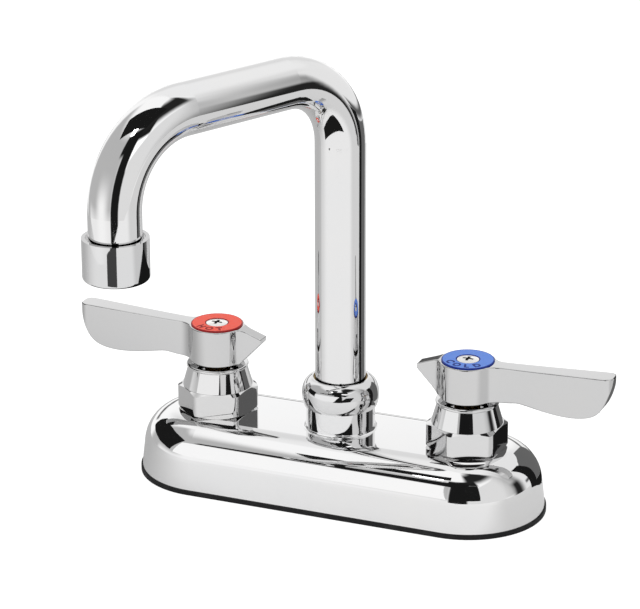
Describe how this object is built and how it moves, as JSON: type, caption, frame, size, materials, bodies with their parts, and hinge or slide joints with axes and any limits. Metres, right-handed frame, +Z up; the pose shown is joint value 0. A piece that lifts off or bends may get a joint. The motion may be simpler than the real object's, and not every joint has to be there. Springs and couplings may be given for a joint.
{
  "type": "deck-mount faucet",
  "caption": "Deck-mount faucet on 4 inch centres: cast base, hot and cold lever valves with ceramic discs, and a swinging tube spout with an aerator.",
  "frame": {"origin": "on the deck, under the gasket, on the axis of the spout's swivel, midway between the two valves", "axes": "+Z up out of the deck, +X towards the cold valve, -Y towards the user"},
  "size_m": [0.2146, 0.1366, 0.2264],
  "materials": {
    "chrome": "polished chrome plate on brass",
    "brass": "turned brass, unplated",
    "steel": "plain stainless steel",
    "black_rubber": "matt moulded rubber",
    "white_plastic": "moulded acetal",
    "ceramic": "lapped alumina, opaque",
    "red_enamel": "glossy red index ring",
    "blue_enamel": "glossy blue index ring"
  },
  "bodies": {
    "deck_body": {"base_body": "chrome", "deck_gasket": "black_rubber", "spout_nut": "chrome", "spout_thrust_washer": "white_plastic", "hot_shank": "brass", "hot_washer": "steel", "hot_locknut": "brass", "hot_seat_seal": "black_rubber", "hot_fixed_disc": "ceramic", "hot_cartridge": "brass", "hot_bonnet_seal": "black_rubber", "hot_bonnet": "chrome", "cold_shank": "brass", "cold_washer": "steel", "cold_locknut": "brass", "cold_seat_seal": "black_rubber", "cold_fixed_disc": "ceramic", "cold_cartridge": "brass", "cold_bonnet_seal": "black_rubber", "cold_bonnet": "chrome"},
    "hot_valve": {"hot_handle": "chrome", "hot_index": "red_enamel", "hot_handle_screw": "steel", "hot_stem": "brass", "hot_stem_seals": "black_rubber", "hot_moving_disc": "ceramic", "hot_stem_clip": "steel"},
    "cold_valve": {"cold_handle": "chrome", "cold_index": "blue_enamel", "cold_handle_screw": "steel", "cold_stem": "brass", "cold_stem_seals": "black_rubber", "cold_moving_disc": "ceramic", "cold_stem_clip": "steel"},
    "spout": {"spout_tube": "chrome", "spout_ferrule": "brass", "spout_seals": "black_rubber", "aerator_shell": "chrome", "aerator_screen": "steel", "aerator_insert": "white_plastic", "aerator_washer": "black_rubber"}
  },
  "joints": [
    {"name": "hot_handle_turn", "type": "hinge", "parent": "deck_body", "child": "hot_valve", "pos_m": [-0.0508, 0, 0.052], "axis": [0, 0, 1], "range_deg": [0, 90]},
    {"name": "cold_handle_turn", "type": "hinge", "parent": "deck_body", "child": "cold_valve", "pos_m": [0.0508, 0, 0.052], "axis": [0, 0, 1], "range_deg": [-90, 0]},
    {"name": "spout_swivel", "type": "hinge", "parent": "deck_body", "child": "spout", "pos_m": [0, 0, 0.04], "axis": [0, 0, 1], "continuous": true}
  ]
}
